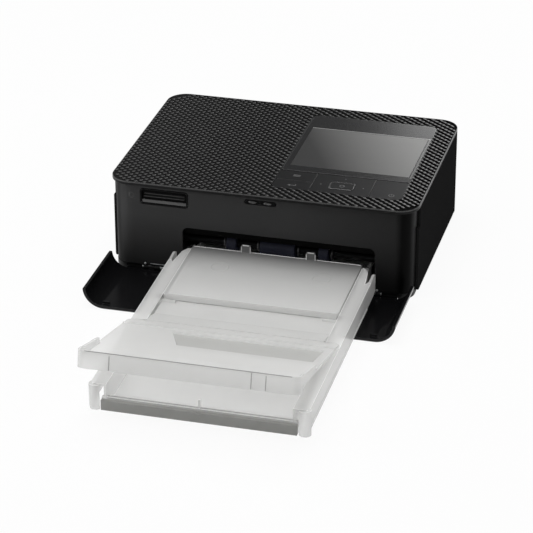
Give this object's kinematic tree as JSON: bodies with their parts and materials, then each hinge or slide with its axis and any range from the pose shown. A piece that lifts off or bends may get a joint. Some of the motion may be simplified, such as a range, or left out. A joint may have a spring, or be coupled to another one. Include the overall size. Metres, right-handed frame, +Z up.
{
  "type": "compact photo printer",
  "caption": "Compact dye-sublimation photo printer with its front door open and its frosted paper cassette inserted.",
  "frame": {"origin": "on the table, under the middle of the box around the whole printer as it stands, door open and cassette in", "axes": "+X to the right as seen from the front, +Y from the front to the back, +Z up"},
  "size_m": [0.1822, 0.3188, 0.0576],
  "materials": {
    "shell_black": "fine matt moulding",
    "door_black": "gloss moulding",
    "window_black": "gloss",
    "key_black": "satin",
    "inner_black": "matt",
    "foot_rubber": "matt",
    "roller_rubber": "matt",
    "belt_rubber": "matt",
    "chassis_steel": "zinc plated",
    "shaft_steel": "turned",
    "head_metal": "extruded",
    "lcd_grey": "satin",
    "board_green": "solder resist",
    "pale_plastic": "satin",
    "jack_black": "matt",
    "film_dye": "gloss",
    "frosted": "frosted translucent moulding",
    "bar_grey": "matt"
  },
  "bodies": {
    "printer": {"base_housing": "shell_black", "front_housing": "shell_black", "top_cover": "shell_black", "left_panel": "shell_black", "rear_panel": "shell_black", "right_rear_panel": "shell_black", "ribbon_door_pin": "shaft_steel", "door_rod": "shaft_steel", "feet": "foot_rubber", "base_screws": "shaft_steel", "card_bezel": "shell_black", "card_reader": "chassis_steel", "lamp_window": "window_black", "lamp_board": "board_green", "display_window": "window_black", "display_module": "lcd_grey", "key_board": "board_green", "chassis_left": "chassis_steel", "chassis_right": "chassis_steel", "chassis_bridge": "chassis_steel", "guide_beam": "inner_black", "feed_ramp": "inner_black", "exit_guide": "inner_black", "cassette_guides": "inner_black", "head_pin": "shaft_steel", "drive_motor": "shaft_steel", "drive_belt": "belt_rubber", "main_board": "board_green", "usb_a_port": "chassis_steel", "usb_c_port": "chassis_steel", "dc_jack": "jack_black", "ribbon_cartridge": "inner_black", "ribbon_film": "film_dye"},
    "ribbon_door": {"ribbon_door": "shell_black"},
    "front_door": {"front_door": "door_black"},
    "menu_key": {"menu_key": "key_black"},
    "back_key": {"back_key": "key_black"},
    "nav_pad": {"nav_pad": "key_black"},
    "ok_key": {"ok_key": "key_black"},
    "power_key": {"power_key": "key_black"},
    "pickup_roller": {"pickup_roller": "roller_rubber"},
    "platen_roller": {"platen_roller": "roller_rubber"},
    "capstan": {"capstan": "shaft_steel"},
    "pinch_roller": {"pinch_roller": "shaft_steel"},
    "motor_pulley": {"motor_pulley": "pale_plastic"},
    "thermal_head": {"thermal_head": "head_metal"},
    "supply_spool": {"supply_spool": "pale_plastic"},
    "takeup_spool": {"takeup_spool": "pale_plastic"},
    "ribbon_latch": {"ribbon_latch": "pale_plastic"},
    "cassette": {"cassette_tray": "frosted", "front_bar": "bar_grey", "lift_plate": "frosted", "lift_spring": "shaft_steel"},
    "inner_cover": {"inner_cover": "frosted"},
    "outer_cover": {"outer_cover": "frosted"}
  },
  "joints": [
    {"name": "front_door_hinge", "type": "hinge", "parent": "printer", "child": "front_door", "pos_m": [0, 0.02898, 0.0026], "axis": [-1, 0, 0], "range_deg": [0, 3.4]},
    {"name": "ribbon_door_hinge", "type": "hinge", "parent": "printer", "child": "ribbon_door", "pos_m": [0.0898, 0.14338, 0.03], "axis": [0, 0, 1], "range_deg": [0, 90]},
    {"name": "cassette_slide", "type": "slide", "parent": "printer", "child": "cassette", "axis": [0, -0.9998, -0.0175], "range_m": [0, 0.06]},
    {"name": "outer_cover_hinge", "type": "hinge", "parent": "cassette", "child": "outer_cover", "pos_m": [0.011, -0.03833, 0.01688], "axis": [-1, 0, 0], "range_deg": [0, 70]},
    {"name": "inner_cover_hinge", "type": "hinge", "parent": "cassette", "child": "inner_cover", "pos_m": [0.011, -0.03135, 0.018], "axis": [1, 0, 0], "range_deg": [0, 60]},
    {"name": "menu_key_press", "type": "slide", "parent": "printer", "child": "menu_key", "axis": [0, 0, -1], "range_m": [0, 0.0004], "stiffness_N_per_m": 900},
    {"name": "back_key_press", "type": "slide", "parent": "printer", "child": "back_key", "axis": [0, 0, -1], "range_m": [0, 0.0004], "stiffness_N_per_m": 900},
    {"name": "nav_pad_press", "type": "slide", "parent": "printer", "child": "nav_pad", "axis": [0, 0, -1], "range_m": [0, 0.0004], "stiffness_N_per_m": 900},
    {"name": "ok_key_press", "type": "slide", "parent": "printer", "child": "ok_key", "axis": [0, 0, -1], "range_m": [0, 0.0004], "stiffness_N_per_m": 900},
    {"name": "power_key_press", "type": "slide", "parent": "printer", "child": "power_key", "axis": [0, 0, -1], "range_m": [0, 0.0004], "stiffness_N_per_m": 900},
    {"name": "pickup_turn", "type": "hinge", "parent": "printer", "child": "pickup_roller", "pos_m": [0.008, 0.04088, 0.019], "axis": [1, 0, 0], "continuous": true},
    {"name": "platen_turn", "type": "hinge", "parent": "printer", "child": "platen_roller", "pos_m": [0.011, 0.10288, 0.0205], "axis": [1, 0, 0], "continuous": true},
    {"name": "capstan_turn", "type": "hinge", "parent": "printer", "child": "capstan", "pos_m": [0.011, 0.14138, 0.025], "axis": [1, 0, 0], "continuous": true},
    {"name": "pinch_turn", "type": "hinge", "parent": "printer", "child": "pinch_roller", "pos_m": [0.011, 0.14138, 0.0303], "axis": [1, 0, 0], "continuous": true},
    {"name": "motor_turn", "type": "hinge", "parent": "printer", "child": "motor_pulley", "pos_m": [-0.055, 0.11288, 0.016], "axis": [1, 0, 0], "continuous": true},
    {"name": "head_lift", "type": "hinge", "parent": "printer", "child": "thermal_head", "pos_m": [0.011, 0.11088, 0.0445], "axis": [-1, 0, 0], "range_deg": [0, 6]},
    {"name": "supply_turn", "type": "hinge", "parent": "printer", "child": "supply_spool", "pos_m": [0.011, 0.07538, 0.039], "axis": [1, 0, 0], "continuous": true},
    {"name": "takeup_turn", "type": "hinge", "parent": "printer", "child": "takeup_spool", "pos_m": [0.011, 0.12738, 0.039], "axis": [1, 0, 0], "continuous": true},
    {"name": "latch_turn", "type": "hinge", "parent": "printer", "child": "ribbon_latch", "pos_m": [0.0765, 0.14188, 0.039], "axis": [1, 0, 0], "range_deg": [0, 70]}
  ],
  "couplings": [
    {"joint": "platen_turn", "follows": "capstan_turn", "ratio": 0.35714},
    {"joint": "pinch_turn", "follows": "capstan_turn", "ratio": -1},
    {"joint": "motor_turn", "follows": "capstan_turn", "ratio": 2},
    {"joint": "takeup_turn", "follows": "supply_turn", "ratio": 1}
  ]
}
